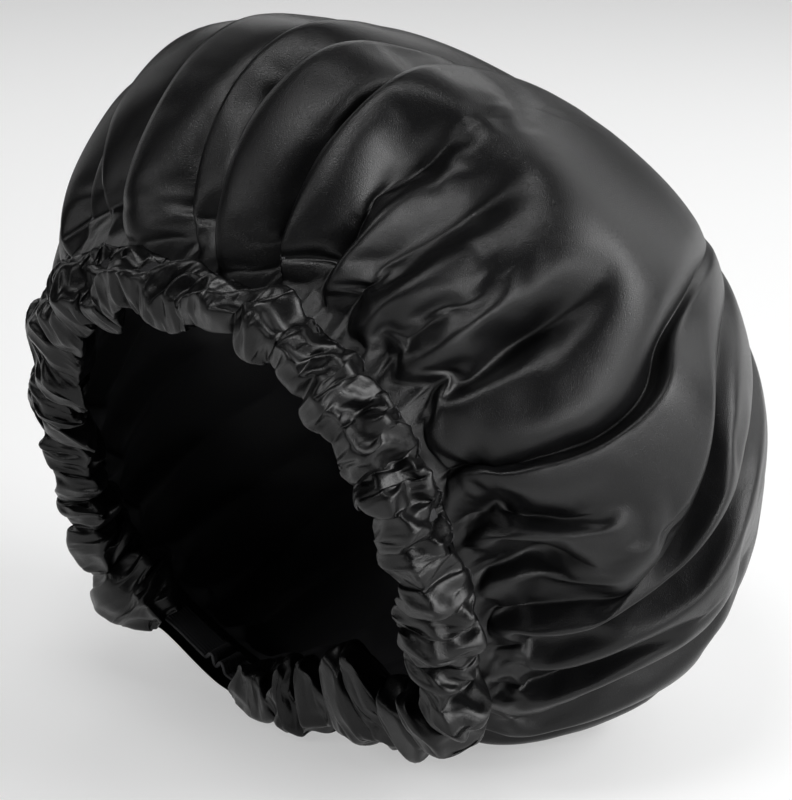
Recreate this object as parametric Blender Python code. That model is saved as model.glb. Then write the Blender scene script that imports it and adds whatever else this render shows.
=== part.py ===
"""Sleep bonnet: a gathered satin crown, the ruched casing round its opening, and the
ribbed elastic that runs inside the casing and shows in the casing's threading slot.

The bonnet lies on its side. Its opening faces -Y and leans down by TILT. Positions on
it are given by an angle round the opening's axis (0 is +X, 90 is up), a radius from that
axis and a depth along it, from the hem back into the crown.
"""

import math

import bmesh
import bpy
from mathutils import Vector

MM = 0.001

# ---- Driving dimensions, in millimetres and degrees ----

TILT = 22.0
OPENING_CENTRE = Vector((-2.0, -75.0, 80.0))

CLOTH = 1.5
GAP = 0.3
REST_EASE = 3.0

CASING_WIDTH = 18.0
CASING_HALF_DEPTH = 3.2
COLUMNS_PER_RUFFLE = 4

ELASTIC_WIDTH = 11.0
ELASTIC_THICKNESS = 1.4
ELASTIC_FRONT = 3.5
ELASTIC_STEP = 5.0

# The threading slot in the casing, and the zigzag of slack elastic at its far end.
SLOT_START = -134.0
SLOT_END = -112.0
SLACK_START = -122.0
SLACK_LEGS = 5
SLACK_LEG_TURN = 1.6
SLACK_HEIGHT = 5.0
SLACK_LEAN = 0.7
SHARPEST_MITRE = 0.45

BELLY_DEPTH = 84.0
BELLY_STATION = 0.36
CROWN_DEPTH = 188.0
FRONT_FULLNESS = 1.6
POLE_SIDE = 12.0
POLE_DROP = 8.0
COLUMNS_PER_FOLD = 4

# Points round the casing's section: how far back from the hem, as a share of its width,
# and which side of the elastic (1 is outside).
CASING_COLUMNS = ("back", "side")
CASING_ROWS = (
    (1.0, 1.0),
    (0.65, 1.0),
    (0.25, 1.0),
    (0.0, 0.6),
    (0.0, -0.8),
    (0.4, -1.0),
    (0.86, -1.0),
    (1.0, -1.0),
)
SLOT_FACES = (3, 4, 5)
SLOT_CALM = 0.2

# A row is a ruffle of the casing: the angle of its crest at the hem, how far it stands
# out on the outside and on the inside, how far its hem juts forward, and how far its
# crest turns from the hem to the seam. Valleys lie midway between crests.
RUFFLE_COLUMNS = ("angle", "outside", "inside", "forward", "skew")
RUFFLE_ROWS = (
    (-177, 2, 7, 3, 2),
    (-169, 3, 8, 4, 3),
    (-160, 3, 8, 5, 2),
    (-146, 3, 12, 9, -4),
    (-123, 2, 4, 2, 0),
    (-105, 3, 10, 2, 3),
    (-94, 4, 14, 4, 4),
    (-83, 3, 15, 2, -3),
    (-71, 4, 18, 5, 5),
    (-59, 3, 16, 3, -4),
    (-49, 4, 12, 4, 3),
    (-40, 6, 8, 8, -3),
    (-33, 6, 4, 4, 2),
    (-26, 5, 2, 3, 3),
    (-18, 4, 1, 4, 1),
    (-10, 5, 2, 3, 3),
    (-2, 4, 1, 4, -2),
    (6, 5, 2, 4, 3),
    (14, 4, 1, 3, 4),
    (22, 5, 1, 5, -2),
    (31, 4, 2, 4, 3),
    (41, 5, 1, 6, 4),
    (50, 4, 2, 4, -3),
    (58, 4, 1, 5, 3),
    (69, 3, 2, 4, 7),
    (84, 3, 2, 3, -6),
    (97, 3, 2, 2, 4),
    (106, 3, 2, 3, 4),
    (115, 3, 3, 4, -3),
    (125, 4, 5, 5, 4),
    (135, 4, 7, 4, 3),
    (146, 6, 9, 8, -2),
    (157, 3, 9, 4, 3),
    (166, 4, 8, 5, -3),
    (174, 3, 7, 3, 2),
)
RUFFLE_ROUNDNESS = 0.75
# How full a ruffle is, as the part of a half wave from the hem to the seam.
FULLNESS_AT_HEM = 0.25
FULLNESS_AT_SEAM = 0.9

# The opening isn't a true circle: it sags, and its ruffles push it out in places.
RING_COLUMNS = ("angle", "hem_radius", "seam_radius", "belly_radius", "back_fullness")
RING_ROWS = (
    (-165, 82, 88, 123, 1.9),
    (-148, 89, 89, 121, 1.9),
    (-130, 82, 89, 121, 1.9),
    (-115, 84, 89, 122, 1.9),
    (-90, 80, 87, 124, 1.9),
    (-65, 80, 88, 126, 1.8),
    (-40, 91, 91, 127, 1.7),
    (-22, 80, 84, 126, 1.6),
    (0, 81, 82, 126, 1.5),
    (20, 86, 87, 126, 1.5),
    (35, 92, 93, 127, 1.5),
    (55, 92, 93, 126, 1.5),
    (85, 85, 84, 125, 1.5),
    (107, 83, 89, 125, 1.5),
    (130, 80, 92, 126, 1.6),
    (155, 79, 90, 122, 1.7),
    (180, 79, 87, 122, 1.8),
)

# A row is a fold's valley: where it runs at the seam, at the belly and up the back, how
# deep it is, how far along the crown it reaches, how wide its walls are before it and
# after it (in degrees), and how far the crest before it leans over it.
FOLD_COLUMNS = ("seam", "belly", "back", "depth", "reach", "before", "after", "lean")
FOLD_ROWS = (
    (-177, -177, -176, 8, 0.50, 5, 6, 1.0),
    (-166, -167, -166, 7, 0.60, 5, 5, 0.5),
    (-156, -155, -154, 9, 0.50, 5, 6, 1.0),
    (-145, -144, -142, 8, 0.45, 5, 6, 0.5),
    (-134, -133, -133, 8, 0.55, 5, 5, 0.0),
    (-123, -124, -122, 7, 0.60, 5, 5, 0.5),
    (-113, -112, -110, 8, 0.45, 5, 5, 0.0),
    (-102, -101, -99, 7, 0.50, 5, 5, 0.5),
    (-92, -90, -88, 8, 0.55, 5, 5, 0.0),
    (-81, -78, -76, 7, 0.50, 5, 6, 0.5),
    (-70, -65, -62, 8, 0.45, 5, 6, 1.0),
    (-60, -51, -45, 8, 0.50, 5, 7, 1.0),
    (-50, -38, -27, 10, 0.55, 5, 7, 1.0),
    (-38, -29, -17, 9, 0.40, 5, 5, 1.5),
    (-27, -20, -8, 11, 0.90, 5, 6, 1.5),
    (-16, -13, 11, 9, 0.85, 4, 7, 1.0),
    (-4, -7, 14, 10, 0.24, 4, 5, 1.5),
    (8, 2, 18, 10, 0.28, 4, 6, 1.5),
    (19, 12, 22, 7, 0.85, 3, 6, 2.2),
    (33, 30, 34, 11, 0.42, 5, 6, 1.0),
    (42, 40, 42, 8, 0.30, 4, 5, 0.5),
    (52, 50, 45, 10, 0.42, 5, 5, 1.0),
    (59, 60, 56, 11, 0.46, 4, 6, 1.5),
    (67, 71, 69, 13, 0.80, 3, 9, 2.0),
    (81, 84, 75, 13, 0.90, 3, 7, 2.5),
    (89, 92, 87, 14, 0.90, 3, 10, 2.5),
    (107, 105, 100, 14, 0.90, 3, 8, 2.5),
    (115, 117, 117, 16, 0.85, 3, 13, 3.0),
    (125, 126, 129, 10, 0.70, 3, 8, 2.0),
    (134, 135, 138, 9, 0.55, 4, 7, 1.5),
    (144, 145, 148, 8, 0.55, 5, 5, 1.0),
    (153, 154, 158, 8, 0.50, 5, 6, 1.0),
    (164, 165, 167, 8, 0.60, 5, 5, 0.5),
    (174, 174, 176, 7, 0.45, 5, 5, 0.5),
)
FOLD_STATIONS = (0.0, 0.25, 0.6, 1.0)
FOLD_RISE = 0.08
FOLD_RISE_POWER = 0.7
FOLD_FADE_START = 0.3
FOLD_WALL_POWER = 1.5
# Near the seam the walls of a fold are wider, so that the cloth between two folds tapers to it.
SEAM_SPREAD = 1.2
SPREAD_END = 0.2

# Soft hollows pressed into the crown between its pleats.
DENT_COLUMNS = ("angle", "station", "half_angle", "half_length", "depth")
DENT_ROWS = (
    (60, 0.28, 6, 0.08, 6),
    (49, 0.28, 7, 0.10, 7),
    (30, 0.20, 8, 0.12, 8),
    (16, 0.42, 5, 0.12, 7),
    (-8, 0.12, 7, 0.06, 6),
)

# Stations along the crown from the seam (0) to the pole (1), closer where it is gathered.
STATIONS = (0.0, 0.02, 0.06, 0.12, 0.19, 0.27, 0.35, 0.43, 0.52, 0.62, 0.76, 0.92)


def smooth(value):
    """A smooth step from 0 to 1."""
    value = min(1.0, max(0.0, value))
    return value * value * (3.0 - 2.0 * value)


def rows_as_dicts(columns, rows):
    return [dict(zip(columns, row)) for row in rows]


CASING = rows_as_dicts(CASING_COLUMNS, CASING_ROWS)
RUFFLES = rows_as_dicts(RUFFLE_COLUMNS, RUFFLE_ROWS)
RING = rows_as_dicts(RING_COLUMNS, RING_ROWS)
FOLDS = rows_as_dicts(FOLD_COLUMNS, FOLD_ROWS)
DENTS = rows_as_dicts(DENT_COLUMNS, DENT_ROWS)


def curve_through(knots, values, at):
    """A smooth curve through the values at the knots, level at its last knot."""
    slopes = [0.0] * len(knots)
    for index in range(1, len(knots) - 1):
        rise = values[index + 1] - values[index - 1]
        slopes[index] = rise / (knots[index + 1] - knots[index - 1])
    piece = max(index for index in range(len(knots) - 1) if knots[index] <= at)
    span = knots[piece + 1] - knots[piece]
    share = (at - knots[piece]) / span
    ease = smooth(share)
    leave = slopes[piece] * span * share * (1.0 - share) ** 2
    arrive = slopes[piece + 1] * span * share * share * (1.0 - share)
    return values[piece] + (values[piece + 1] - values[piece]) * ease + leave - arrive


def turn_difference(angle, other):
    """The signed turn from other to angle, in degrees, within half a turn."""
    return (angle - other + 180.0) % 360.0 - 180.0


def ring_value(angle, column):
    """A column of the ring's rows at an angle, eased from one row to the next."""
    for index, row in enumerate(RING):
        after = RING[(index + 1) % len(RING)]
        span = (after["angle"] - row["angle"]) % 360.0
        along = (angle - row["angle"]) % 360.0
        if along < span:
            return row[column] + (after[column] - row[column]) * smooth(along / span)
    return RING[0][column]


def rest(point):
    """Flatten what would sink below the surface, easing in over the last millimetres."""
    if point.z < -REST_EASE:
        point.z = 0.0
    elif point.z < REST_EASE:
        point.z = (point.z + REST_EASE) ** 2 / (4 * REST_EASE)
    return point


def place(angle, radius, depth, side=0.0, drop=0.0):
    """A point of the bonnet in world millimetres, never below the surface it lies on."""
    turn = math.radians(angle)
    tilt = math.radians(TILT)
    across = radius * math.cos(turn) + side
    raised = radius * math.sin(turn) - drop
    point = OPENING_CENTRE + Vector((
        across,
        depth * math.cos(tilt) - raised * math.sin(tilt),
        depth * math.sin(tilt) + raised * math.cos(tilt),
    ))
    return rest(point)


# ---- Crown ----


def crown_profile(angle, station):
    """Radius, depth and outward direction of the smooth crown at an angle and station."""
    belly = ring_value(angle, "belly_radius")
    if station < BELLY_STATION:
        turn = (1.0 - station / BELLY_STATION) * math.pi / 2
        power = 2.0 / FRONT_FULLNESS
        seam = ring_value(angle, "seam_radius")
        seam_depth = CASING_WIDTH + GAP
        radius = seam + (belly - seam) * math.cos(turn) ** power
        depth = BELLY_DEPTH - (BELLY_DEPTH - seam_depth) * math.sin(turn) ** power
        out = Vector((math.cos(turn), -math.sin(turn)))
    else:
        turn = (station - BELLY_STATION) / (1.0 - BELLY_STATION) * math.pi / 2
        power = 2.0 / ring_value(angle, "back_fullness")
        radius = belly * max(0.0, math.cos(turn)) ** power
        depth = BELLY_DEPTH + (CROWN_DEPTH - BELLY_DEPTH) * math.sin(turn) ** power
        out = Vector((math.cos(turn), math.sin(turn)))
    return radius, depth, out


def valley_angle(index, station):
    """The angle of a fold's valley at a station, counted on past a full turn."""
    row = FOLDS[index % len(FOLDS)]
    angles = (row["seam"], row["belly"], row["back"], row["back"])
    return curve_through(FOLD_STATIONS, angles, station) + 360.0 * (index // len(FOLDS))


def fold_swell(row, station):
    """How much of its full depth a fold has at a station."""
    rise = min(1.0, station / FOLD_RISE) ** FOLD_RISE_POWER
    along = station / row["reach"]
    return rise * (1.0 - smooth((along - FOLD_FADE_START) / (1.0 - FOLD_FADE_START)))


def fold_effect(angle, station):
    """How deep the folds press the crown at an angle, and how far they lean it over."""
    depth = 0.0
    lean = 0.0
    spread = SEAM_SPREAD + (1.0 - SEAM_SPREAD) * smooth(station / SPREAD_END)
    for index, row in enumerate(FOLDS):
        past = turn_difference(angle, valley_angle(index, station))
        before = row["before"] * spread
        after = row["after"] * spread
        if not -3.0 * before < past < after:
            continue
        swell = fold_swell(row, station)
        if past < 0.0:
            wall = max(0.0, 1.0 + past / before)
            crest = min(-past / before, (3.0 + past / before) / 2.0)
            lean += row["lean"] * swell * smooth(crest)
        else:
            wall = 1.0 - past / after
        depth += row["depth"] * swell * wall**FOLD_WALL_POWER
    return depth, lean


def dent_depth(angle, station):
    """How deep the soft hollows press the crown."""
    total = 0.0
    for dent in DENTS:
        across = turn_difference(angle, dent["angle"]) / dent["half_angle"]
        along = (station - dent["station"]) / dent["half_length"]
        total += dent["depth"] * math.exp(-across * across - along * along)
    return total


def crown_point(index, share, station):
    """A point of the crown's outside, a share of the way from one valley to the next."""
    start = valley_angle(index, station)
    angle = start + (valley_angle(index + 1, station) - start) * share
    pressed, lean = fold_effect(angle, station)
    pressed += dent_depth(angle, station)
    angle += lean
    radius, depth, out = crown_profile(angle, station)
    back = smooth((depth - BELLY_DEPTH) / (CROWN_DEPTH - BELLY_DEPTH))
    return place(
        angle,
        radius - pressed * out.x + CLOTH,
        max(depth - pressed * out.y, CASING_WIDTH + GAP),
        POLE_SIDE * back,
        POLE_DROP * back,
    )


def build_crown():
    """A ring of points at each station from the seam to the pole, thickened inward."""
    mesh = bmesh.new()
    rings = []
    for station in STATIONS:
        ring = []
        for index in range(len(FOLDS)):
            for step in range(COLUMNS_PER_FOLD):
                point = crown_point(index, step / COLUMNS_PER_FOLD, station)
                ring.append(mesh.verts.new(point * MM))
        rings.append(ring)
    pole = mesh.verts.new(place(0.0, 0.0, CROWN_DEPTH, POLE_SIDE, POLE_DROP) * MM)
    for ring, after in zip(rings, rings[1:]):
        for column in range(len(ring)):
            beside = (column + 1) % len(ring)
            mesh.faces.new((ring[column], ring[beside], after[beside], after[column]))
    last = rings[-1]
    for column in range(len(last)):
        mesh.faces.new((last[column], last[(column + 1) % len(last)], pole))
    return add_cloth("crown", mesh)


# ---- Casing ----


def ruffle_valley(index):
    """The angle of the valley before a ruffle, counted on past a full turn."""
    count = len(RUFFLES)
    before = RUFFLES[(index - 1) % count]["angle"] + 360.0 * ((index - 1) // count)
    here = RUFFLES[index % count]["angle"] + 360.0 * (index // count)
    return (before + here) / 2


def ruffle(angle, back, key):
    """A column of the ruffle at an angle, swelling from nothing at its two valleys."""
    total = 0.0
    for index, row in enumerate(RUFFLES):
        past = turn_difference(angle - row["skew"] * back, row["angle"])
        start = ruffle_valley(index) - row["angle"]
        end = ruffle_valley(index + 1) - row["angle"]
        share = past / (end if past > 0.0 else start)
        if share < 1.0:
            total = max(total, row[key] * (1.0 - share * share) ** RUFFLE_ROUNDNESS)
    return total


def casing_section(angle):
    """The casing's outside round its tunnel: offsets from the elastic, and depths."""
    calm = SLOT_CALM if SLOT_START < angle < SLOT_END else 1.0
    section = []
    for row in CASING:
        back = row["back"]
        key = "outside" if row["side"] > 0.0 else "inside"
        part = FULLNESS_AT_HEM + (FULLNESS_AT_SEAM - FULLNESS_AT_HEM) * back
        height = calm * ruffle(angle, back, key) * math.sin(math.pi * part)
        forward = calm * ruffle(angle, 0.0, "forward") * (1.0 - back) ** 2
        offset = row["side"] * (CASING_HALF_DEPTH + height)
        section.append((offset, back * CASING_WIDTH - forward))
    return section


def ring_line(angle, depth):
    """The radius of the line that the elastic follows, at a depth behind the hem."""
    hem = ring_value(angle, "hem_radius")
    seam = ring_value(angle, "seam_radius")
    return hem + (seam - hem) * depth / CASING_WIDTH


def build_band():
    """A section of the tunnel at each ruffle's valley, crest and flanks, open at the slot."""
    mesh = bmesh.new()
    angles = []
    for index in range(len(RUFFLES)):
        start = ruffle_valley(index)
        span = ruffle_valley(index + 1) - start
        angles += [start + span * step / COLUMNS_PER_RUFFLE for step in range(COLUMNS_PER_RUFFLE)]
    sections = []
    for angle in angles:
        section = []
        for offset, depth in casing_section(angle):
            point = place(angle, ring_line(angle, depth) + offset, depth)
            section.append(mesh.verts.new(point * MM))
        sections.append(section)
    for column in range(len(sections)):
        after = sections[(column + 1) % len(sections)]
        in_slot = SLOT_START < angles[column] < SLOT_END
        for step in range(len(after)):
            following = (step + 1) % len(after)
            if in_slot and step in SLOT_FACES:
                continue
            section = sections[column]
            mesh.faces.new((section[step], section[following], after[following], after[step]))
    return add_cloth("band", mesh)


# ---- Elastic ----


def elastic_line():
    """The elastic's middle line as (angle, offset from the ring line) all the way round."""
    slack_end = SLACK_START + SLACK_LEGS * SLACK_LEG_TURN
    line = []
    angle = slack_end
    while angle < SLACK_START + 360.0 - ELASTIC_STEP / 2:
        line.append((angle, 0.0))
        angle += ELASTIC_STEP
    for leg in range(SLACK_LEGS):
        offset = -SLACK_HEIGHT if leg % 2 else 0.0
        line.append((SLACK_START + leg * SLACK_LEG_TURN, offset))
    return line


def flat_point(entry, depth):
    """A point of the elastic's line in the plane of the ring; the slack leans forward."""
    angle, offset = entry
    back_share = (depth - ELASTIC_FRONT) / ELASTIC_WIDTH
    radius = ring_line(angle, depth) + offset * (1.0 - SLACK_LEAN * back_share)
    turn = math.radians(angle)
    return Vector((radius * math.cos(turn), radius * math.sin(turn)))


def build_elastic():
    """A flat strip along the elastic's line, its corners mitred in the slack zigzag."""
    mesh = bmesh.new()
    half = ELASTIC_THICKNESS / 2
    back = ELASTIC_FRONT + ELASTIC_WIDTH
    corners = ((half, back), (half, ELASTIC_FRONT), (-half, ELASTIC_FRONT), (-half, back))
    line = elastic_line()
    sections = []
    for index, entry in enumerate(line):
        section = []
        for side, depth in corners:
            before = flat_point(line[index - 1], depth)
            here = flat_point(entry, depth)
            after = flat_point(line[(index + 1) % len(line)], depth)
            first = (here - before).normalized()
            second = (after - here).normalized()
            along = (first + second).normalized()
            normal = Vector((along.y, -along.x))
            mitre = side / max(SHARPEST_MITRE, normal.dot(Vector((first.y, -first.x))))
            moved = here + normal * mitre
            angle = math.degrees(math.atan2(moved.y, moved.x))
            section.append(mesh.verts.new(place(angle, moved.length, depth) * MM))
        sections.append(section)
    for section, after in zip(sections, sections[1:] + sections[:1]):
        for step in range(len(corners)):
            following = (step + 1) % len(corners)
            mesh.faces.new((section[step], section[following], after[following], after[step]))
    return add_object("elastic", mesh)


# ---- Objects and materials ----


def add_material(name, color, roughness, sheen):
    """A plain material of the part's colour; nothing on the bonnet is metal."""
    material = bpy.data.materials.new(name)
    material.use_nodes = True
    shader = material.node_tree.nodes["Principled BSDF"]
    shader.inputs["Base Color"].default_value = (*color, 1.0)
    shader.inputs["Roughness"].default_value = roughness
    shader.inputs["Metallic"].default_value = 0.0
    shader.inputs["Sheen Weight"].default_value = sheen
    return material


def add_object(name, mesh):
    bmesh.ops.recalc_face_normals(mesh, faces=mesh.faces)
    data = bpy.data.meshes.new(name)
    mesh.to_mesh(data)
    mesh.free()
    item = bpy.data.objects.new(name, data)
    bpy.context.collection.objects.link(item)
    return item


def add_cloth(name, mesh):
    """An object of one cloth surface, thickened inward to the cloth's wall."""
    item = add_object(name, mesh)
    wall = item.modifiers.new("wall", "SOLIDIFY")
    wall.thickness = CLOTH * MM
    wall.offset = -1.0
    wall.use_rim = True
    return item


def build():
    for item in list(bpy.data.objects):
        bpy.data.objects.remove(item)
    satin = add_material("black_satin", color=(0.012, 0.012, 0.014), roughness=0.36, sheen=0.2)
    ribbed = add_material("black_elastic", color=(0.02, 0.02, 0.021), roughness=0.75, sheen=0.0)
    for item, material in ((build_crown(), satin), (build_band(), satin), (build_elastic(), ribbed)):
        item.data.materials.append(material)
        item.data.shade_smooth()


build()
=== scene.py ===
import math

import bmesh
import bpy
import numpy as np
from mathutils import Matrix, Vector


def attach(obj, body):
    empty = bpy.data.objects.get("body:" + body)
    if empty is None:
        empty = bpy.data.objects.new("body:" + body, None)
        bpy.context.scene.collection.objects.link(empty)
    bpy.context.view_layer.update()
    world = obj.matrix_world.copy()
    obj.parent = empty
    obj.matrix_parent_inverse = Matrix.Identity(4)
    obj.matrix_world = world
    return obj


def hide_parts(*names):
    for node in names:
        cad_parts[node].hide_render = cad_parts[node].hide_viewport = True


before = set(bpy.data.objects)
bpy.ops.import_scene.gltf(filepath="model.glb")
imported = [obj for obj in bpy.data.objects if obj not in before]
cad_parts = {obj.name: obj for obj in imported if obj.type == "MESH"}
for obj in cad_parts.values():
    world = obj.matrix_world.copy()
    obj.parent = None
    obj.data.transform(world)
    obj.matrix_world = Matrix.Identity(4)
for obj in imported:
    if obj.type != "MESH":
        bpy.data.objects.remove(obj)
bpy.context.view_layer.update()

MM = 0.001

# ---- The bonnet's own dimensions, as its solids have them: millimetres and degrees ----

TILT = 22.0
OPENING_CENTRE = np.array((-2.0, -75.0, 80.0))
REST_EASE = 3.0

CASING_WIDTH = 18.0
CASING_HALF_DEPTH = 3.2

ELASTIC_WIDTH = 11.0
ELASTIC_THICKNESS = 1.4
ELASTIC_FRONT = 3.5

SLOT_START = -134.0
SLOT_END = -112.0
SLACK_START = -122.0
SLACK_LEGS = 5
SLACK_LEG_TURN = 1.6
SLACK_HEIGHT = 5.0
SLACK_LEAN = 0.7

BELLY_DEPTH = 84.0
BELLY_STATION = 0.36
CROWN_DEPTH = 188.0
FRONT_FULLNESS = 1.6
POLE_SIDE = 12.0
POLE_DROP = 8.0
SEAM_DEPTH = CASING_WIDTH + 0.3

RING_COLUMNS = ("angle", "hem_radius", "seam_radius", "belly_radius", "back_fullness")
RING_ROWS = (
    (-165, 82, 88, 123, 1.9),
    (-148, 89, 89, 121, 1.9),
    (-130, 82, 89, 121, 1.9),
    (-115, 84, 89, 122, 1.9),
    (-90, 80, 87, 124, 1.9),
    (-65, 80, 88, 126, 1.8),
    (-40, 91, 91, 127, 1.7),
    (-22, 80, 84, 126, 1.6),
    (0, 81, 82, 126, 1.5),
    (20, 86, 87, 126, 1.5),
    (35, 92, 93, 127, 1.5),
    (55, 92, 93, 126, 1.5),
    (85, 85, 84, 125, 1.5),
    (107, 83, 89, 125, 1.5),
    (130, 80, 92, 126, 1.6),
    (155, 79, 90, 122, 1.7),
    (180, 79, 87, 122, 1.8),
)

FOLD_COLUMNS = ("seam", "belly", "back", "depth", "reach", "before", "after", "lean")
FOLD_ROWS = (
    (-177, -177, -176, 8, 0.50, 5, 6, 1.0),
    (-166, -167, -166, 7, 0.60, 5, 5, 0.5),
    (-156, -155, -154, 9, 0.50, 5, 6, 1.0),
    (-145, -144, -142, 8, 0.45, 5, 6, 0.5),
    (-134, -133, -133, 8, 0.55, 5, 5, 0.0),
    (-123, -124, -122, 7, 0.60, 5, 5, 0.5),
    (-113, -112, -110, 8, 0.45, 5, 5, 0.0),
    (-102, -101, -99, 7, 0.50, 5, 5, 0.5),
    (-92, -90, -88, 8, 0.55, 5, 5, 0.0),
    (-81, -78, -76, 7, 0.50, 5, 6, 0.5),
    (-70, -65, -62, 8, 0.45, 5, 6, 1.0),
    (-60, -51, -45, 8, 0.50, 5, 7, 1.0),
    (-50, -38, -27, 10, 0.55, 5, 7, 1.0),
    (-38, -29, -17, 9, 0.40, 5, 5, 1.5),
    (-27, -20, -8, 11, 0.90, 5, 6, 1.5),
    (-16, -13, 11, 9, 0.85, 4, 7, 1.0),
    (-4, -7, 14, 10, 0.24, 4, 5, 1.5),
    (8, 2, 18, 10, 0.28, 4, 6, 1.5),
    (19, 12, 22, 7, 0.85, 3, 6, 2.2),
    (33, 30, 34, 11, 0.42, 5, 6, 1.0),
    (42, 40, 42, 8, 0.30, 4, 5, 0.5),
    (52, 50, 45, 10, 0.42, 5, 5, 1.0),
    (59, 60, 56, 11, 0.46, 4, 6, 1.5),
    (67, 71, 69, 13, 0.80, 3, 9, 2.0),
    (81, 84, 75, 13, 0.90, 3, 7, 2.5),
    (89, 92, 87, 14, 0.90, 3, 10, 2.5),
    (107, 105, 100, 14, 0.90, 3, 8, 2.5),
    (115, 117, 117, 16, 0.85, 3, 13, 3.0),
    (125, 126, 129, 10, 0.70, 3, 8, 2.0),
    (134, 135, 138, 9, 0.55, 4, 7, 1.5),
    (144, 145, 148, 8, 0.55, 5, 5, 1.0),
    (153, 154, 158, 8, 0.50, 5, 6, 1.0),
    (164, 165, 167, 8, 0.60, 5, 5, 0.5),
    (174, 174, 176, 7, 0.45, 5, 5, 0.5),
)
FOLD_STATIONS = (0.0, 0.25, 0.6, 1.0)
FOLD_RISE = 0.08
FOLD_FADE_START = 0.3
FOLD_WALL_POWER = 1.5
# Near the seam the walls of a fold are wider, so that the cloth between two folds tapers to it.
SEAM_SPREAD = 1.2
SPREAD_END = 0.2
SLOT_CALM = 0.2

RUFFLE_COLUMNS = ("angle", "outside", "inside", "forward", "skew")
RUFFLE_ROWS = (
    (-177, 2, 7, 3, 2),
    (-169, 3, 8, 4, 3),
    (-160, 3, 8, 5, 2),
    (-146, 3, 12, 9, -4),
    (-123, 2, 4, 2, 0),
    (-105, 3, 10, 2, 3),
    (-94, 4, 14, 4, 4),
    (-83, 3, 15, 2, -3),
    (-71, 4, 18, 5, 5),
    (-59, 3, 16, 3, -4),
    (-49, 4, 12, 4, 3),
    (-40, 6, 8, 8, -3),
    (-33, 6, 4, 4, 2),
    (-26, 5, 2, 3, 3),
    (-18, 4, 1, 4, 1),
    (-10, 5, 2, 3, 3),
    (-2, 4, 1, 4, -2),
    (6, 5, 2, 4, 3),
    (14, 4, 1, 3, 4),
    (22, 5, 1, 5, -2),
    (31, 4, 2, 4, 3),
    (41, 5, 1, 6, 4),
    (50, 4, 2, 4, -3),
    (58, 4, 1, 5, 3),
    (69, 3, 2, 4, 7),
    (84, 3, 2, 3, -6),
    (97, 3, 2, 2, 4),
    (106, 3, 2, 3, 4),
    (115, 3, 3, 4, -3),
    (125, 4, 5, 5, 4),
    (135, 4, 7, 4, 3),
    (146, 6, 9, 8, -2),
    (157, 3, 9, 4, 3),
    (166, 4, 8, 5, -3),
    (174, 3, 7, 3, 2),
)
FULLNESS_AT_SEAM = 0.9

DENT_COLUMNS = ("angle", "station", "half_angle", "half_length", "depth")
DENT_ROWS = (
    (60, 0.28, 6, 0.08, 6),
    (49, 0.28, 7, 0.10, 7),
    (30, 0.20, 8, 0.12, 8),
    (16, 0.42, 5, 0.12, 7),
    (-8, 0.12, 7, 0.06, 6),
)

# ---- The cloth's own forms, softer and finer than its solids: millimetres, degrees, shares ----

# The folds start closer to the seam, and the ruffles swell more sharply from the hem.
SEAM_RISE_POWER = 0.4
RUFFLE_ROUNDNESS = 1.2
FULLNESS_AT_HEM = 0.12

# Folds whose belly is between these angles are soft hollows, but for those that lean over.
SOFT_START = -10.0
SOFT_END = 66.0
LEANING = 2.0
SOFT_WIDTH = 0.55
SOFT_EDGE = 0.3

# How far a lean of 1 turns the cloth, in degrees.
LEAN_REACH = 1.3

# The crown's profile is rounded at its belly by its mean over nearby stations.
BELLY_SAMPLES = (-2, -1, 0, 1, 2)
BELLY_ROUNDING = 0.035
BELLY_ROUNDING_START = 0.2

# Where the crown is a smooth dome, that the cloth run leaves nearly as it is.
DOME_START = -12.0
DOME_END = 62.0
DOME_EDGE = 12
DOME_FRONT = 0.12
DOME_FRONT_EDGE = 0.15

# Small gathers close to the crown's seam, and a soft unevenness that fades towards the back.
GATHER_HEIGHT = 3.0
GATHER_CELLS = 170
GATHER_RATE = 12
GATHER_REACH = 0.06
GATHER_START = 0.01
GATHER_SEED = 3
SWELL_HEIGHT = 0.8
SWELL_CELLS = 26
SWELL_RATE = 6
SWELL_RISE = 0.1
SWELL_FADE_START = 0.15
SWELL_FADE = 0.3
SWELL_WAVE = 0.01
SWELL_WAVE_RATE = 9
SWELL_SEED = 5

# The casing's crinkles, and the roll and swell of its hem.
CRINKLE_HEIGHT = 2.4
CRINKLE_CELLS = 150
CRINKLE_RATE = 3
CRINKLE_SLANT = 0.01
CRINKLE_SEED = 11
HEM_ROLL = 3.4
HEM_ROLL_CELLS = 56
HEM_ROLL_SEED = 23
HEM_PUFF = 1.0
HEM_SHARE = 0.1
FORWARD_SHARE = 0.35
SEAM_CALM_START = 0.8
SEAM_CALM_SPAN = 0.2
SEAM_CALM = 0.5
SEAM_THINNING = 0.85

# The slot's ends, and how much of the casing's section it opens.
SLOT_MARGIN = 2
SLOT_EDGE = 3
SLOT_OPEN_SIDE = 0.3
SLOT_OPEN_SHARE = 0.8

# The crown's outside lies round its solid: pressed in along its folds, wider round the axis.
CROWN_PRESS = 1.0
CROWN_WIDENING = 1.5
SEAM_WIDENING = 0.6
SEAM_TUCK = 1.0

# ---- How fine the surfaces are made: columns crowd at a fold's valley, rows at the seam ----

COLUMNS_PER_FOLD = 12
COLUMN_CROWDING = 0.6
CROWN_ROWS = 60
CROWN_ROW_CROWDING = 0.5
CROWN_END = 0.985
BAND_COLUMNS = 1080
BAND_LAYER_ROWS = 9
HEM_ROWS = 5

# The underside lies this far under the outside, and both close over the hole at the pole.
SKIN = 0.5
POLE_REACH = 20.0

# ---- Cloth runs: growth of the cloth's own lengths, and how firmly it keeps its form ----

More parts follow.
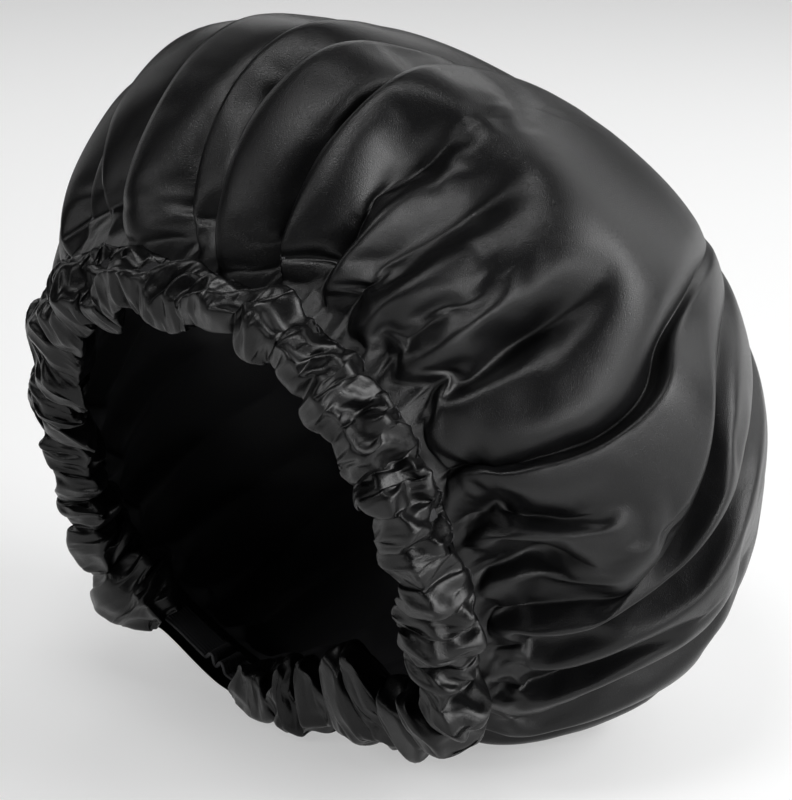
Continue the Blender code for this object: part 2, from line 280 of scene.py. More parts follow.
FRAMES = 25
CROWN_GROWTH = 0.07
CROWN_PRESSURE = 0.0
CROWN_BENDING = 0.3
CROWN_FIRMNESS = 0.03
BACK_FIRMNESS = 0.2
DOME_FIRMNESS = 0.3
BACK_START = 0.25
BACK_EDGE = 0.5
STILL_START = 0.1
STILL_EDGE = 0.6
SEAM_HOLD_ROWS = 1.5
LYING_HEIGHT = 2.0
BAND_GROWTH = 0.4
BAND_PRESSURE = 0.2
BAND_BENDING = 0.3
BAND_FIRMNESS = 0.02
SLOT_FIRMNESS = 0.5
SEAM_HOLD_START = 0.9
SEAM_HOLD_EDGE = 0.08

# ---- Stitches and the elastic's ribs: millimetres ----

STITCH_ROW = 1
STITCH_LENGTH = 1.6
STITCH_GAP = 0.7
STITCH_RADIUS = 0.22
STITCH_SIDES = 6
STITCH_STATIONS = (0.0, 0.12, 0.5, 0.88, 1.0)
STITCH_SWELLS = (0.35, 0.85, 1.0, 0.85, 0.35)
STITCH_REFERENCE = (0.3, 0.5, 0.81)
ELASTIC_RIBS = 9
POINTS_PER_RIB = 4
RIB_HEIGHT = 0.25
RIB_ROUNDNESS = 0.6
ELASTIC_STEP = 0.6
ELASTIC_CLOSING = 0.25
STEPS_PER_LEG = 8

# ---- Satin, camera and studio ----

SPECULAR_LEVEL = 0.31
ROUGHNESS_SPAN = 0.14
GRAIN_SCALE = 3200.0
GRAIN_DETAIL = 1.0
GRAIN_DISTANCE = 0.0002
MATERIAL_COLUMNS = ("name", "base", "roughness", "relief")
MATERIAL_ROWS = (
    ("black_satin", (0.003, 0.003, 0.0033), 0.33, 0.5),
    # The casing's satin is a darker copy of the crown's: painted shade in its colour; its lower
    # roughness and relief are real.
    ("black_satin_gathered", (0.002, 0.002, 0.0022), 0.32, 0.35),
    # The underside's satin is far lighter than the outside: partly the duller back of satin,
    # mostly painted light for the crown's unlit inside.
    ("black_satin_back", (0.05, 0.05, 0.053), 0.45, 0.5),
    # The elastic, and the stitches that share it, are lighter than the satin: painted light for
    # the glossy highlight on the elastic in the slot.
    ("black_elastic", (0.03, 0.03, 0.032), 0.55, 0.5),
)

CAMERA_AZIMUTH = 48.0
CAMERA_ELEVATION = 20.0
CAMERA_DISTANCE = 1.0
PIXEL = 0.305e-3
IMAGE_SIZE = (792, 800)
RING_PIXEL = (223, 522)

# Softboxes: a direction is to the camera's right, up and back, lengths are in metres.
STUDIO_MIDDLE = (0.0, 0.0, 0.11)
LIGHT_COLUMNS = ("name", "direction", "distance", "size", "radiance")
LIGHT_ROWS = (
    ("key", (0.74, 0.6, 0.15), 1.2, (1.2, 1.0), 1.4),
    ("right", (0.93, -0.15, 0.35), 1.2, (0.6, 0.5), 2.4),
    ("right_front", (0.6, -0.25, 0.75), 1.3, (0.35, 0.3), 14.4),
    ("dome", (0.85, 0.3, 0.45), 1.3, (0.75, 0.75), 8.0),
    ("front_left", (-0.7, 0.3, 0.6), 1.3, (0.5, 0.5), 3.2),
    ("front_top", (-0.15, 0.75, 0.65), 1.3, (0.4, 0.3), 14.4),
    ("back_top", (0.15, 0.85, -0.5), 1.2, (1.0, 0.6), 2.2),
    ("right_edge", (0.75, 0.5, -0.45), 1.2, (0.4, 0.9), 1.3),
    ("left_edge", (-0.55, 0.65, -0.5), 1.2, (0.3, 0.9), 1.3),
)
WORLD_STRENGTH = 0.02
FLOOR_TONE = 0.5
FLOOR_GLOW = 0.42
FLOOR_SIZE = 12000.0
FLOOR_GAP = 0.3


def rows_as_dicts(columns, rows):
    """A dictionary for each row of a table, by the names of its columns."""
    return [dict(zip(columns, row)) for row in rows]


RING = rows_as_dicts(RING_COLUMNS, RING_ROWS)
FOLDS = rows_as_dicts(FOLD_COLUMNS, FOLD_ROWS)
for fold in FOLDS:
    on_dome = SOFT_START < fold["belly"] < SOFT_END
    fold["soft"] = 1.0 if on_dome and fold["lean"] < LEANING else 0.0
DENTS = rows_as_dicts(DENT_COLUMNS, DENT_ROWS)
RUFFLES = rows_as_dicts(RUFFLE_COLUMNS, RUFFLE_ROWS)
MATERIALS = rows_as_dicts(MATERIAL_COLUMNS, MATERIAL_ROWS)
LIGHTS = rows_as_dicts(LIGHT_COLUMNS, LIGHT_ROWS)


# ---- Shared shape functions, for arrays ----


def smooth(value):
    """A smooth step from 0 to 1."""
    value = np.clip(value, 0.0, 1.0)
    return value * value * (3.0 - 2.0 * value)


def turn_difference(angle, other):
    """How far angle is past other, from -180 to 180 degrees."""
    return (angle - other + 180.0) % 360.0 - 180.0


def ring_value(angle, column):
    """A column of the ring's rows at an angle, eased from one row to the next."""
    starts = np.array([row["angle"] for row in RING] + [RING[0]["angle"] + 360.0])
    values = np.array([row[column] for row in RING] + [RING[0][column]])
    turned = (np.asarray(angle, float) - starts[0]) % 360.0 + starts[0]
    index = np.clip(np.searchsorted(starts, turned, side="right") - 1, 0, len(RING) - 1)
    share = (turned - starts[index]) / (starts[index + 1] - starts[index])
    return values[index] + (values[index + 1] - values[index]) * smooth(share)


def place(angle, radius, depth, side=0.0, drop=0.0):
    """Points of the bonnet in world millimetres, never below the surface it lies on."""
    turn = np.radians(angle)
    tilt = math.radians(TILT)
    raised = radius * np.sin(turn) - drop
    point = np.stack(
        np.broadcast_arrays(
            radius * np.cos(turn) + side,
            depth * math.cos(tilt) - raised * math.sin(tilt),
            depth * math.sin(tilt) + raised * math.cos(tilt),
        ),
        axis=-1,
    )
    point = point + OPENING_CENTRE
    height = point[..., 2]
    eased = (height + REST_EASE) ** 2 / (4 * REST_EASE)
    point[..., 2] = np.where(height < -REST_EASE, 0.0, np.where(height < REST_EASE, eased, height))
    return point


def curve_through(knots, values, at):
    """Smooth curves through the values (a row per knot) at the knots, level at the last."""
    knots = np.asarray(knots, float)
    values = np.asarray(values, float)
    slopes = np.zeros_like(values)
    slopes[1:-1] = (values[2:] - values[:-2]) / (knots[2:] - knots[:-2])[:, None]
    piece = np.clip(np.searchsorted(knots, at, side="right") - 1, 0, len(knots) - 2)
    span = (knots[piece + 1] - knots[piece])[:, None]
    share = (np.asarray(at) - knots[piece])[:, None] / span
    start, end = values[piece], values[piece + 1]
    leave = slopes[piece] * span * share * (1 - share) ** 2
    arrive = slopes[piece + 1] * span * share**2 * (1 - share)
    return start + (end - start) * smooth(share) + leave - arrive


def lattice_noise(across, along, across_cells, seed):
    """Smooth noise from -1 to 1; across is in turns and closes, along is in cells."""
    rng = np.random.default_rng(seed)
    along = np.asarray(along, float) - np.min(along)
    rows = int(np.max(along)) + 3
    lattice = rng.uniform(-1.0, 1.0, (across_cells, rows))
    u = (np.asarray(across) % 1.0) * across_cells
    u0 = np.floor(u).astype(int)
    v0 = np.floor(along).astype(int)
    du, dv = smooth(u - u0), smooth(along - v0)
    u0, u1 = u0 % across_cells, (u0 + 1) % across_cells
    low = lattice[u0, v0] * (1 - du) + lattice[u1, v0] * du
    high = lattice[u0, v0 + 1] * (1 - du) + lattice[u1, v0 + 1] * du
    return low * (1 - dv) + high * dv


# ---- Meshes ----


def mesh_object(name, points, faces):
    """A smooth-shaded object from points in millimetres and quads or triangles."""
    data = bpy.data.meshes.new(name)
    data.from_pydata((np.asarray(points) * MM).tolist(), [], faces)
    data.update()
    data.shade_smooth()
    item = bpy.data.objects.new(name, data)
    bpy.context.collection.objects.link(item)
    return item


def grid_faces(columns, rows, closed_rows):
    """Quads of a columns by rows grid, where point number is column * rows + row."""
    column = np.arange(columns)
    row = np.arange(rows if closed_rows else rows - 1)
    c, r = np.meshgrid(column, row, indexing="ij")
    c1, r1 = (c + 1) % columns, (r + 1) % rows
    quads = np.stack((c * rows + r, c1 * rows + r, c1 * rows + r1, c * rows + r1), axis=-1)
    return quads.reshape(-1, 4)


def grid_object(name, grid, closed_rows=False, keep=None):
    """An object from a grid of points (columns, rows, 3), closed round its columns."""
    columns, rows = grid.shape[:2]
    faces = grid_faces(columns, rows, closed_rows)[:, ::-1]
    if keep is not None:
        faces = faces[keep.reshape(-1)]
    return mesh_object(name, grid.reshape(-1, 3), faces.tolist())


def close_hole(item, near, reach):
    """Fill the small hole whose rim lies within reach of a point, in metres."""
    shape = bmesh.new()
    shape.from_mesh(item.data)
    open_edges = [edge for edge in shape.edges if edge.is_boundary]
    rim = [edge for edge in open_edges if (edge.verts[0].co - near).length < reach]
    middle = shape.verts.new(sum((edge.verts[0].co for edge in rim), Vector()) / len(rim))
    for edge in rim:
        loop = edge.link_loops[0]
        shape.faces.new((loop.link_loop_next.vert, loop.vert, middle)).smooth = True
    shape.to_mesh(item.data)
    shape.free()


# ---- Cloth runs ----


def set_weights(item, name, weights):
    """A vertex group from an array of weights, in steps of a hundredth."""
    group = item.vertex_groups.new(name=name)
    steps = np.rint(np.asarray(weights).reshape(-1) * 100).astype(int)
    for step in np.unique(steps):
        group.add(np.flatnonzero(steps == step).tolist(), float(step) / 100, "REPLACE")


def run_cloth(item, hold, still, growth, pressure, bending):
    """Let the cloth settle: it grows by growth where still is 0, and keeps its form by hold."""
    set_weights(item, "hold", hold)
    set_weights(item, "still", still)
    modifier = item.modifiers.new("cloth", "CLOTH")
    cloth = modifier.settings
    cloth.quality = 5
    cloth.mass = 0.15
    cloth.air_damping = 4.0
    cloth.tension_stiffness = cloth.compression_stiffness = 20.0
    cloth.shear_stiffness = 8.0
    cloth.bending_stiffness = bending
    cloth.tension_damping = cloth.compression_damping = cloth.shear_damping = 10.0
    cloth.bending_damping = 1.0
    cloth.vertex_group_mass = "hold"
    cloth.vertex_group_shrink = "still"
    cloth.shrink_min = -growth
    cloth.shrink_max = 0.0
    cloth.use_pressure = True
    cloth.uniform_pressure_force = pressure
    cloth.effector_weights.gravity = 0.0
    modifier.collision_settings.use_collision = False
    modifier.point_cache.frame_start = 1
    modifier.point_cache.frame_end = FRAMES
    scene = bpy.context.scene
    for frame_number in range(1, FRAMES + 1):
        scene.frame_set(frame_number)
    apply_modifiers(item)
    scene.frame_set(1)


def apply_modifiers(item):
    """Replace the item's mesh with its evaluated one."""
    graph = bpy.context.evaluated_depsgraph_get()
    made = bpy.data.meshes.new_from_object(item.evaluated_get(graph))
    item.modifiers.clear()
    item.vertex_groups.clear()
    item.data = made


def subdivide(item):
    """Smooth the item by one step of subdivision."""
    modifier = item.modifiers.new("smooth", "SUBSURF")
    modifier.levels = modifier.render_levels = 1
    apply_modifiers(item)


def vertex_points(item):
    """The item's points and outward normals, in metres."""
    count = len(item.data.vertices)
    points, normals = np.empty(count * 3), np.empty(count * 3)
    item.data.vertices.foreach_get("co", points)
    item.data.vertices.foreach_get("normal", normals)
    return points.reshape(-1, 3), normals.reshape(-1, 3)


def keep_above_surface(item):
    """Flatten what the cloth run pushed below the surface that the bonnet lies on."""
    points, _ = vertex_points(item)
    points[:, 2] = np.maximum(points[:, 2], 0.0)
    item.data.vertices.foreach_set("co", points.ravel())
    item.data.update()


# ---- Crown ----


def sharp_profile(angle, station):
    """Radius, depth and outward direction of the smooth crown, with a crease at its belly."""
    belly = ring_value(angle, "belly_radius")
    seam = ring_value(angle, "seam_radius")
    front_turn = np.clip(1.0 - station / BELLY_STATION, 0, 1) * math.pi / 2
    back_turn = np.clip((station - BELLY_STATION) / (1.0 - BELLY_STATION), 0, 1) * math.pi / 2
    front_power = 2.0 / FRONT_FULLNESS
    back_power = 2.0 / ring_value(angle, "back_fullness")
    front = station < BELLY_STATION
    front_radius = seam + (belly - seam) * np.cos(front_turn) ** front_power
    front_depth = BELLY_DEPTH - (BELLY_DEPTH - SEAM_DEPTH) * np.sin(front_turn) ** front_power
    back_radius = belly * np.maximum(0.0, np.cos(back_turn)) ** back_power
    back_depth = BELLY_DEPTH + (CROWN_DEPTH - BELLY_DEPTH) * np.sin(back_turn) ** back_power
    radius = np.where(front, front_radius, back_radius)
    depth = np.where(front, front_depth, back_depth)
    out_radius = np.where(front, np.cos(front_turn), np.cos(back_turn))
    out_depth = np.where(front, -np.sin(front_turn), np.sin(back_turn))
    return radius, depth, out_radius, out_depth


def crown_profile(angle, station):
    """Radius, depth and outward direction of the smooth crown, rounded where it is widest."""
    total = 0.0
    rounding = smooth(station / BELLY_ROUNDING_START)
    for offset in BELLY_SAMPLES:
        moved = np.clip(station + offset * BELLY_ROUNDING * rounding, 0.0, 1.0)
        total = total + np.stack(sharp_profile(angle, moved)) / len(BELLY_SAMPLES)
    radius, depth, out_radius, out_depth = total
    length = np.hypot(out_radius, out_depth)
    return radius, depth, out_radius / length, out_depth / length


def valley_angles(stations):
    """The angle of each fold's valley at each station: an array (stations, folds)."""
    keys = ("seam", "belly", "back", "back")
    values = [[row[key] for row in FOLDS] for key in keys]
    return curve_through(FOLD_STATIONS, values, stations)


def fold_swell(row, station):
    """How much of its full depth a fold has at a station."""
    rise = np.minimum(1.0, station / FOLD_RISE) ** SEAM_RISE_POWER
    along = station / row["reach"]
    return rise * (1.0 - smooth((along - FOLD_FADE_START) / (1.0 - FOLD_FADE_START)))


def fold_effect(angle, station, valleys):
    """How deep the folds press the crown, and how far they lean it, on the whole grid."""
    depth = np.zeros_like(angle)
    lean = np.zeros_like(angle)
    spread = SEAM_SPREAD + (1.0 - SEAM_SPREAD) * smooth(station / SPREAD_END)
    for index, row in enumerate(FOLDS):
        past = turn_difference(angle, valleys[None, :, index])
        before = row["before"] * spread
        after = row["after"] * spread
        swell = fold_swell(row, station)
        wall = np.clip(np.where(past < 0, 1.0 + past / before, 1.0 - past / after), 0, None)
        crease = wall**FOLD_WALL_POWER
        bell = np.exp(-(((1.0 - wall) / SOFT_WIDTH) ** 2)) * smooth(wall / SOFT_EDGE)
        soft = row["soft"]
        depth += row["depth"] * swell * (crease * (1.0 - soft) + bell * soft)
        # The lean is fullest one wall's width before the valley, and gone at three.
        crest = np.minimum(-past / before, (3.0 + past / before) / 2.0)
        lean += np.where(past < 0, row["lean"] * swell * smooth(crest), 0.0)
    return depth, lean


def dent_depth(angle, station):
    """How deep the dents press the crown, on the whole grid."""
    total = np.zeros_like(angle)
    for dent in DENTS:
        across = turn_difference(angle, dent["angle"]) / dent["half_angle"]
        along = (station - dent["station"]) / dent["half_length"]
        total += dent["depth"] * np.exp(-across * across - along * along)
    return total


def crown_unevenness(angle, station):
    """How far gathers near the seam and a soft swell stand proud of the crown."""
    turns = angle / 360.0
    near_seam = np.exp(-station / GATHER_REACH) * smooth(station / GATHER_START)
    gathers = lattice_noise(turns, station * GATHER_RATE, GATHER_CELLS, GATHER_SEED)
    gathers = gathers * GATHER_HEIGHT * near_seam
    wavy = turns + SWELL_WAVE * np.sin(station * SWELL_WAVE_RATE)
    swell = lattice_noise(wavy, station * SWELL_RATE, SWELL_CELLS, SWELL_SEED) * SWELL_HEIGHT
    fade = 1 - smooth((station - SWELL_FADE_START) / SWELL_FADE)
    return gathers + swell * smooth(station / SWELL_RISE) * fade


def crown_grid():
    """Points of the crown's outside, a column for each share of each fold, and stations."""
    t = np.linspace(0.0, 1.0, CROWN_ROWS)
    stations = CROWN_END * ((1.0 - CROWN_ROW_CROWDING) * t + CROWN_ROW_CROWDING * t**2)
    valleys = valley_angles(stations)
    following = np.roll(valleys, -1, axis=1)
    following[:, -1] += 360.0
    share = np.arange(COLUMNS_PER_FOLD) / COLUMNS_PER_FOLD
    share = share - COLUMN_CROWDING * np.sin(2 * math.pi * share) / (2 * math.pi)
    angle = valleys.T[:, None, :] + (following - valleys).T[:, None, :] * share[None, :, None]
    angle = angle.reshape(-1, len(stations))
    station = np.broadcast_to(stations, angle.shape)
    pressed, lean = fold_effect(angle, station, valleys)
    pressed = pressed + dent_depth(angle, station)
    turned = angle + lean * LEAN_REACH
    radius, depth, out_radius, out_depth = crown_profile(turned, station)
    back = smooth((depth - BELLY_DEPTH) / (CROWN_DEPTH - BELLY_DEPTH))
    pressed = pressed - crown_unevenness(angle, station) + CROWN_PRESS
    points = place(
        turned,
        radius - pressed * out_radius + CROWN_WIDENING,
        np.maximum(depth - pressed * out_depth, SEAM_DEPTH),
        POLE_SIDE * back,
        POLE_DROP * back,
    )
    seam = angle[:, 0]
    seam_radius = ring_value(seam, "seam_radius") + SEAM_WIDENING
    points[:, 0] = place(seam, seam_radius, SEAM_DEPTH - SEAM_TUCK)
    return points, station, turn_difference(angle, 0.0)


def build_crown(satin, underside):
    """The crown's outside and underside, settled as cloth."""
    grid, station, angle = crown_grid()
    item = grid_object("satin_crown", grid)
    rows = np.arange(grid.shape[1])[None, :]
    dome = smooth((angle - DOME_START) / DOME_EDGE) * smooth((DOME_END - angle) / DOME_EDGE)
    dome = dome * smooth((station - DOME_FRONT) / DOME_FRONT_EDGE)
    behind = smooth((station - BACK_START) / BACK_EDGE)
    firm = CROWN_FIRMNESS + BACK_FIRMNESS * behind + DOME_FIRMNESS * dome
    hold = np.maximum(firm, np.exp(-rows / SEAM_HOLD_ROWS))
    lying = grid[..., 2] < LYING_HEIGHT
    hold = np.where(lying | (rows == grid.shape[1] - 1), 1.0, hold)
    still = np.maximum(smooth((station - STILL_START) / STILL_EDGE), dome)
    run_cloth(item, hold, still, CROWN_GROWTH, CROWN_PRESSURE, CROWN_BENDING)
    keep_above_surface(item)
    # Subdividing keeps the first points, so that the underside takes the mesh before it.
    coarse = len(item.data.vertices)
    inner_faces = [tuple(face.vertices) for face in item.data.polygons]
    subdivide(item)
    points, normals = vertex_points(item)
    inner = (points[:coarse] / MM) - normals[:coarse] * SKIN
    inside = mesh_object("crown_underside", inner, [face[::-1] for face in inner_faces])
    pole = Vector(grid[:, -1].mean(0) * MM)
    close_hole(item, pole, POLE_REACH * MM)
    close_hole(inside, pole, POLE_REACH * MM)
    item.data.materials.clear()
    item.data.materials.append(satin)
    # The underside takes the lightened satin: painted light for the crown's unlit inside.
    inside.data.materials.append(underside)
    return item, inside


# ---- Casing ----


def ruffle(angle, back, key):
    """A column of the ruffles at an angle, swelling from nothing at each one's valleys."""
    crests = np.array([row["angle"] for row in RUFFLES], float)
    starts = turn_difference(np.roll(crests, 1), crests) / 2
    ends = turn_difference(np.roll(crests, -1), crests) / 2
    total = 0.0
    for row, start, end in zip(RUFFLES, starts, ends):
        past = turn_difference(angle - row["skew"] * back, row["angle"])
        share = np.clip(np.where(past > 0, past / end, past / start), 0.0, 1.0)
        total = np.maximum(total, row[key] * (1.0 - share**2) ** RUFFLE_ROUNDNESS)
    return total


def ring_line(angle, depth):
    """The radius of the casing's middle, from the hem to the seam."""
    hem = ring_value(angle, "hem_radius")
    seam = ring_value(angle, "seam_radius")
    return hem + (seam - hem) * depth / CASING_WIDTH


def band_grid():
    """Points of the casing: round the ring, and from the seam over the hem and back."""
    angle = (-180.0 + 360.0 * np.arange(BAND_COLUMNS) / BAND_COLUMNS)[:, None]
    layer = np.linspace(1.0, HEM_SHARE, BAND_LAYER_ROWS)
    hem_turn = np.linspace(0, math.pi, HEM_ROWS + 2)[1:-1]
    share = np.concatenate((layer, HEM_SHARE - HEM_SHARE * np.sin(hem_turn), layer[::-1]))
    outer = np.ones(BAND_LAYER_ROWS)
    side = np.concatenate((outer, np.cos(hem_turn), -outer))
    share, side = share[None, :], side[None, :]
    slot_begins = smooth((angle - SLOT_START + SLOT_MARGIN) / SLOT_EDGE)
    slot = slot_begins * smooth((SLOT_END + SLOT_MARGIN - angle) / SLOT_EDGE)
    calm = 1.0 - (1.0 - SLOT_CALM) * slot
    part = FULLNESS_AT_HEM + (FULLNESS_AT_SEAM - FULLNESS_AT_HEM) * share
    to_seam = smooth((share - SEAM_CALM_START) / SEAM_CALM_SPAN)
    gather = np.sin(math.pi * part) * (1.0 - SEAM_CALM * to_seam)
    turns = angle / 360.0
    slanted = turns + CRINKLE_SLANT * share
    fine = lattice_noise(slanted, share * CRINKLE_RATE + side, CRINKLE_CELLS, CRINKLE_SEED)
    level = np.zeros_like(share)
    roll = lattice_noise(turns, level, HEM_ROLL_CELLS, HEM_ROLL_SEED) * (1.0 - share) ** 2
    outside, inside = (ruffle(angle, share, key) for key in ("outside", "inside"))
    height = calm * (np.where(side > 0, outside, inside) + CRINKLE_HEIGHT * fine) * gather
    forward = calm * FORWARD_SHARE * ruffle(angle, 0.0, "forward") * (1.0 - share) ** 2
    thick = CASING_HALF_DEPTH + HEM_PUFF * calm * (1.0 - share)
    thick = thick * (1.0 - SEAM_THINNING * share**3)
    offset = side * thick + np.sign(side) * height * np.minimum(1.0, np.abs(side))
    offset = offset + calm * HEM_ROLL * roll
    depth = share * CASING_WIDTH - forward
    points = place(angle, ring_line(angle, depth) + offset, depth)
    return points, share, side, slot


def build_band(satin):
    """The casing, settled as cloth, and the line that its seam stitches follow."""
    grid, share, side, slot = band_grid()
    item = grid_object("ruched_band", grid, closed_rows=True, keep=slot_keep(share, side))
    at_seam = smooth((share - SEAM_HOLD_START) / SEAM_HOLD_EDGE)
    hold = np.maximum(np.maximum(BAND_FIRMNESS, at_seam), SLOT_FIRMNESS * slot)
    still = np.broadcast_to(slot, hold.shape)
    run_cloth(item, hold, still, BAND_GROWTH, BAND_PRESSURE, BAND_BENDING)
    keep_above_surface(item)
    points, normals = vertex_points(item)
    shape = (BAND_COLUMNS, share.shape[1], 3)
    seam_line = points.reshape(shape)[:, STITCH_ROW] / MM
    seam_normals = normals.reshape(shape)[:, STITCH_ROW]
    subdivide(item)
    item.data.materials.clear()
    item.data.materials.append(satin)
    return item, seam_line + seam_normals * STITCH_RADIUS


def slot_keep(share, side):
    """Which of the casing's quads stay: the slot opens the hem and the inner layer."""
    angle = -180.0 + 360.0 * (np.arange(BAND_COLUMNS) + 0.5) / BAND_COLUMNS
    in_slot = (angle > SLOT_START) & (angle < SLOT_END)
    middle_side = (side[0] + np.roll(side[0], -1)) / 2
    middle_share = (share[0] + np.roll(share[0], -1)) / 2
    opened = (middle_side < SLOT_OPEN_SIDE) & (middle_share < SLOT_OPEN_SHARE)
    opened[-1] = False
    return ~(in_slot[:, None] & opened[None, :])


def capsule_faces(base, rings):
    """Faces of a closed tube of rings of points, the first of them numbered base."""
    sides = list(range(STITCH_SIDES))
    last = base + (rings - 1) * STITCH_SIDES
    faces = [[base + side for side in reversed(sides)], [last + side for side in sides]]
    for ring in range(rings - 1):
        low = base + ring * STITCH_SIDES
        high = low + STITCH_SIDES
        for side in sides:
            after = (side + 1) % STITCH_SIDES
            faces.append([low + side, low + after, high + after, high + side])
    return faces


def build_stitches(line, thread):
    """Short capsules of thread along a closed line of points, one for each stitch."""
    length = np.linalg.norm(np.roll(line, -1, axis=0) - line, axis=1)
    ends = np.concatenate(([0.0], np.cumsum(length)))
    closed = np.vstack((line, line[:1]))
    count = int(ends[-1] / (STITCH_LENGTH + STITCH_GAP))
    starts = np.arange(count) * ends[-1] / count
    along = np.array(STITCH_STATIONS) * STITCH_LENGTH
    swell = np.array(STITCH_SWELLS) * STITCH_RADIUS
    at = starts[:, None] + along[None, :]
    middle = np.stack([np.interp(at, ends, closed[:, axis]) for axis in range(3)], axis=-1)
    run = middle[:, -1] - middle[:, 0]
    run = run / np.linalg.norm(run, axis=1, keepdims=True)
    side = np.cross(run, STITCH_REFERENCE)
    side = side / np.linalg.norm(side, axis=1, keepdims=True)
    other = np.cross(run, side)
    turn = np.arange(STITCH_SIDES) * 2 * math.pi / STITCH_SIDES
    across, upward = np.cos(turn)[None, :, None], np.sin(turn)[None, :, None]
    circle = side[:, None, :] * across + other[:, None, :] * upward
    points = middle[:, :, None, :] + circle[:, None, :, :] * swell[None, :, None, None]
    faces = []
    for stitch in range(count):
        faces += capsule_faces(stitch * len(along) * STITCH_SIDES, len(along))
    item = mesh_object("seam_stitches", points.reshape(-1, 3), faces)
    item.data.materials.append(thread)
    return item


# ---- Elastic ----


def elastic_line():
    """Angles and outward offsets of the elastic's middle, plain and then through its slack."""
    slack_end = SLACK_START + SLACK_LEGS * SLACK_LEG_TURN
    plain = np.arange(slack_end, SLACK_START + 360.0 - ELASTIC_CLOSING, ELASTIC_STEP)
    line = [(angle, 0.0) for angle in plain]
    for leg in range(SLACK_LEGS):
        for step in range(STEPS_PER_LEG):
            share = step / STEPS_PER_LEG
            here = -SLACK_HEIGHT if leg % 2 else 0.0
            there = -SLACK_HEIGHT if (leg + 1) % 2 and leg + 1 < SLACK_LEGS else 0.0
            offset = here + (there - here) * smooth(share)
            line.append((SLACK_START + (leg + share) * SLACK_LEG_TURN, float(offset)))
    return np.array(line)


def elastic_grid():
    """Points of the ribbed elastic: round the ring, and across both of its faces."""
    line = elastic_line()
    across = np.linspace(0, 1, ELASTIC_RIBS * POINTS_PER_RIB + 1)
    bump = RIB_HEIGHT * np.abs(np.sin(math.pi * ELASTIC_RIBS * across)) ** RIB_ROUNDNESS
    half = ELASTIC_THICKNESS / 2 - RIB_HEIGHT
    shares = np.concatenate((across, across[::-1]))
    sides = np.concatenate((half + bump, -half - bump[::-1]))
    depth = ELASTIC_FRONT + ELASTIC_WIDTH * shares
    angle, offset = line[:, 0:1], line[:, 1:2]
    lean = 1.0 - SLACK_LEAN * shares[None, :]
    radius = ring_line(angle, depth[None, :]) + offset * lean
    turn = np.radians(angle)
    x, y = radius * np.cos(turn), radius * np.sin(turn)
    dx = np.roll(x, -1, 0) - np.roll(x, 1, 0)
    dy = np.roll(y, -1, 0) - np.roll(y, 1, 0)
    length = np.hypot(dx, dy)
    x = x + sides[None, :] * dy / length
    y = y - sides[None, :] * dx / length
    return place(np.degrees(np.arctan2(y, x)), np.hypot(x, y), depth[None, :])


# ---- Materials ----


def new_material(name):
    """A material with its nodes, links and Principled shader."""
    material = bpy.data.materials.new(name)
    material.use_nodes = True
    nodes = material.node_tree.nodes
    return material, nodes, material.node_tree.links, nodes["Principled BSDF"]


def satin_material(name, base, roughness, relief):
    """Near-black satin: a soft broad gloss, and a fine grain in its gloss and relief."""
    material, nodes, links, shader = new_material(name)
    shader.inputs["Base Color"].default_value = (*base, 1.0)
    shader.inputs["Specular IOR Level"].default_value = SPECULAR_LEVEL
    place_node = nodes.new("ShaderNodeTexCoord")
    grain = nodes.new("ShaderNodeTexNoise")
    grain.inputs["Scale"].default_value = GRAIN_SCALE
    grain.inputs["Detail"].default_value = GRAIN_DETAIL
    span = nodes.new("ShaderNodeMapRange")
    span.inputs["To Min"].default_value = roughness - ROUGHNESS_SPAN
    span.inputs["To Max"].default_value = roughness + ROUGHNESS_SPAN
    bump = nodes.new("ShaderNodeBump")
    bump.inputs["Strength"].default_value = relief
    bump.inputs["Distance"].default_value = GRAIN_DISTANCE
    links.new(place_node.outputs["Object"], grain.inputs["Vector"])
    links.new(grain.outputs["Fac"], span.inputs["Value"])
    links.new(span.outputs["Result"], shader.inputs["Roughness"])
    links.new(grain.outputs["Fac"], bump.inputs["Height"])
    links.new(bump.outputs["Normal"], shader.inputs["Normal"])
    return material


# ---- Camera, lights and floor ----


def view_axes():
    """Unit vectors from the object to the camera, to its right and up."""
    azimuth, elevation = math.radians(CAMERA_AZIMUTH), math.radians(CAMERA_ELEVATION)
    back = Vector((
        math.sin(azimuth) * math.cos(elevation),
        -math.cos(azimuth) * math.cos(elevation),
        math.sin(elevation),
    ))
    right = Vector((math.cos(azimuth), math.sin(azimuth), 0.0))
    return back, right, back.cross(right)


def add_camera():
    """The camera that sees the bonnet as the photo does."""
    back, right, up = view_axes()
    centre = Vector(OPENING_CENTRE * MM)
    aside = (IMAGE_SIZE[0] / 2 - RING_PIXEL[0]) * PIXEL
    above = (RING_PIXEL[1] - IMAGE_SIZE[1] / 2) * PIXEL
    data = bpy.data.cameras.new("camera")
    data.sensor_width = 36.0
    data.lens = CAMERA_DISTANCE / PIXEL * data.sensor_width / max(IMAGE_SIZE)
    item = bpy.data.objects.new("camera", data)
    bpy.context.collection.objects.link(item)
    item.location = centre + back * CAMERA_DISTANCE
    look = centre + right * aside + up * above - item.location
    item.rotation_euler = look.to_track_quat("-Z", "Y").to_euler()
    bpy.context.scene.camera = item


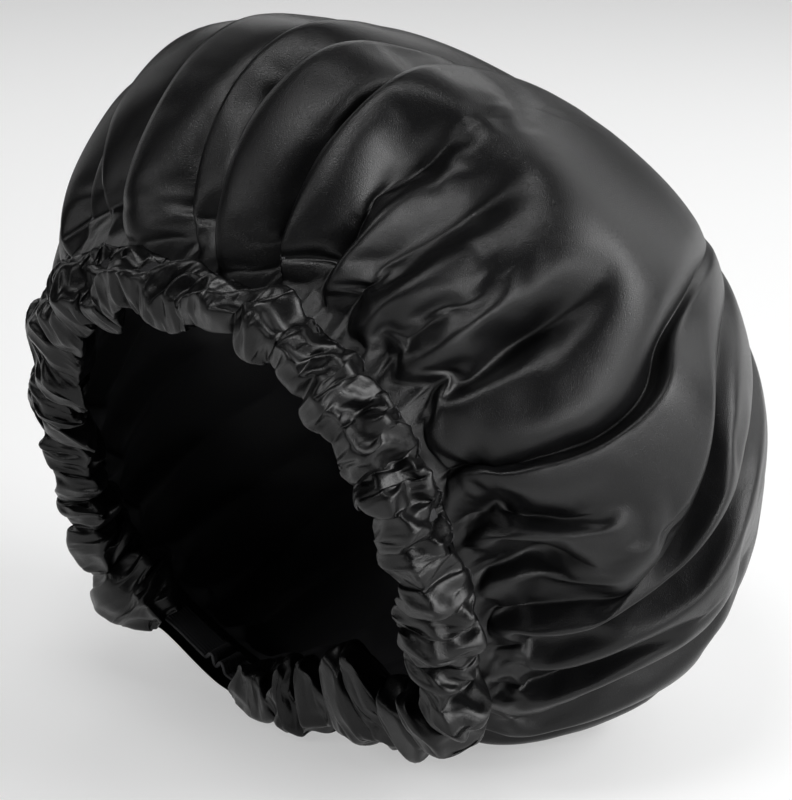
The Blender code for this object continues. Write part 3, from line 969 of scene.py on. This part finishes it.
def add_softbox(name, direction, distance, size, radiance):
    """A rectangular softbox that faces the bonnet from a direction in the camera's axes."""
    back, right, up = view_axes()
    middle = Vector(STUDIO_MIDDLE)
    toward = (right * direction[0] + up * direction[1] + back * direction[2]).normalized()
    data = bpy.data.lights.new(name, "AREA")
    data.shape = "RECTANGLE"
    data.size, data.size_y = size
    data.energy = radiance * math.pi * size[0] * size[1]
    item = bpy.data.objects.new(name, data)
    bpy.context.collection.objects.link(item)
    item.location = middle + toward * distance
    item.rotation_euler = (-toward).to_track_quat("-Z", "Y").to_euler()


def floor_material():
    """A matt floor that glows a little, so that it is nearly white round the bonnet."""
    material, nodes, links, shader = new_material("pale_floor")
    shader.inputs["Base Color"].default_value = (FLOOR_TONE, FLOOR_TONE, FLOOR_TONE, 1.0)
    shader.inputs["Roughness"].default_value = 0.9
    shader.inputs["Emission Color"].default_value = (1.0, 1.0, 1.0, 1.0)
    shader.inputs["Emission Strength"].default_value = FLOOR_GLOW
    return material


def add_studio():
    """Softboxes, a dim world and a pale floor under the bonnet."""
    for light in LIGHTS:
        add_softbox(**light)
    world = bpy.data.worlds.new("studio")
    bpy.context.scene.world = world
    world.use_nodes = True
    background = world.node_tree.nodes["Background"]
    background.inputs["Color"].default_value = (0.9, 0.9, 0.92, 1)
    background.inputs["Strength"].default_value = WORLD_STRENGTH
    half = FLOOR_SIZE / 2
    signs = ((-1, -1), (1, -1), (1, 1), (-1, 1))
    corners = [(x * half, y * half, -FLOOR_GAP) for x, y in signs]
    floor = mesh_object("floor", corners, [(0, 1, 2, 3)])
    floor.data.materials.append(floor_material())
    bpy.context.scene.view_settings.view_transform = "Standard"


# ---- The bonnet ----

satin, casing_satin_with_painted_shade, underside, ribbed = (satin_material(**row) for row in MATERIALS)

crown, crown_inside = build_crown(satin, underside)
band, seam_line = build_band(casing_satin_with_painted_shade)
stitches = build_stitches(seam_line, ribbed)
elastic = grid_object("ribbed_elastic", elastic_grid(), closed_rows=True)
elastic.data.materials.append(ribbed)

for piece, node, slot in (
    (crown, "crown", "satin"),
    (crown_inside, "crown", "satin"),
    (band, "band", "satin"),
    (stitches, "band", "satin"),
    (elastic, "elastic", "elastic"),
):
    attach(piece, "root")
    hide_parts(node)

add_camera()
add_studio()
